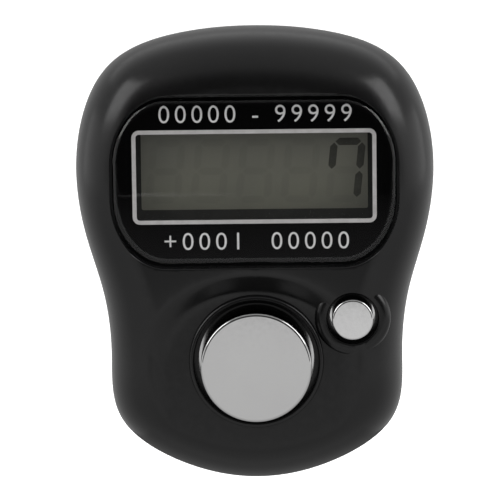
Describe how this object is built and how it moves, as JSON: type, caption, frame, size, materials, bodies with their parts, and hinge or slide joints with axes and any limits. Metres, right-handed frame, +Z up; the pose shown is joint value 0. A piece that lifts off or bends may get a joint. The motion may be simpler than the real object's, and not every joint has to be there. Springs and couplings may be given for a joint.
{
  "type": "tally counter",
  "caption": "Finger-worn electronic tally counter: pebble-shaped case with a digital display, large round count button, small reset button, cell door and a rubber ring strap.",
  "frame": {"origin": "centre of the strap loop that goes round the finger, in the middle of the strap's width", "axes": "+X to the reader's right, -Y out of the display towards the reader, +Z up the case and along the finger"},
  "size_m": [0.0302, 0.0349, 0.0387],
  "materials": {
    "shell_plastic": "polished black moulding",
    "lens_acrylic": "clear acrylic, polished",
    "mask_ink": "black printed film",
    "tape_foam": "white double-sided foam tape",
    "gasket_foam": "closed-cell foam",
    "lcd_film": "polarising film",
    "lcd_glass": "clear glass",
    "lcd_seal": "cured sealant",
    "lcd_back": "grey reflective film",
    "holder_plastic": "plain moulded",
    "zebra_rubber": "striped silicone",
    "board_laminate": "green solder mask",
    "chip_epoxy": "black epoxy",
    "capacitor_ceramic": "ceramic",
    "pad_gold": "gold-plated copper",
    "keypad_silicone": "translucent grey silicone",
    "pill_carbon": "carbon-loaded silicone",
    "button_chrome": "bright plated plastic",
    "cell_steel": "stainless can",
    "contact_steel": "nickel-plated spring steel",
    "door_plastic": "polished black moulding",
    "screw_steel": "zinc-plated steel",
    "strap_rubber": "soft black silicone rubber"
  },
  "bodies": {
    "case": {"front_shell": "shell_plastic", "rear_shell": "shell_plastic", "display_lens": "lens_acrylic", "lens_mask": "mask_ink", "lens_tape": "tape_foam", "lcd_foam_gasket": "gasket_foam", "lcd_front_polariser": "lcd_film", "lcd_front_glass": "lcd_glass", "lcd_edge_seal": "lcd_seal", "lcd_rear_glass": "lcd_glass", "lcd_reflector": "lcd_back", "lcd_holder": "holder_plastic", "zebra_strip": "zebra_rubber", "circuit_board": "board_laminate", "chip_blob": "chip_epoxy", "chip_capacitors": "capacitor_ceramic", "count_contact_pads": "pad_gold", "reset_contact_pads": "pad_gold", "keypad_mat": "keypad_silicone", "count_dome": "keypad_silicone", "reset_dome": "keypad_silicone", "button_cell": "cell_steel", "cell_negative_contact": "contact_steel", "cell_positive_contact": "contact_steel", "case_screws": "screw_steel", "board_screws": "screw_steel", "finger_strap": "strap_rubber"},
    "count_key": {"count_button": "button_chrome", "count_pill": "pill_carbon"},
    "reset_key": {"reset_button": "button_chrome", "reset_pill": "pill_carbon"},
    "cell_door": {"battery_door": "door_plastic"},
    "cell_door_screw": {"door_screw": "screw_steel"}
  },
  "joints": [
    {"name": "count_press", "type": "slide", "parent": "case", "child": "count_key", "axis": [0, 1, 0], "range_m": [0, 0.0008], "stiffness_N_per_m": 800, "springref_m": -0.0005, "deforming": ["count_dome"]},
    {"name": "reset_press", "type": "slide", "parent": "case", "child": "reset_key", "axis": [0, 1, 0], "range_m": [0, 0.0006], "stiffness_N_per_m": 800, "springref_m": -0.0005, "deforming": ["reset_dome"]},
    {"name": "door_lift", "type": "slide", "parent": "case", "child": "cell_door", "axis": [0, 1, 0], "range_m": [0, 0.006]},
    {"name": "door_screw_turn", "type": "hinge", "parent": "cell_door", "child": "cell_door_screw", "pos_m": [0.0079, -0.0109, 0.0128], "axis": [0, 1, 0], "continuous": true}
  ]
}
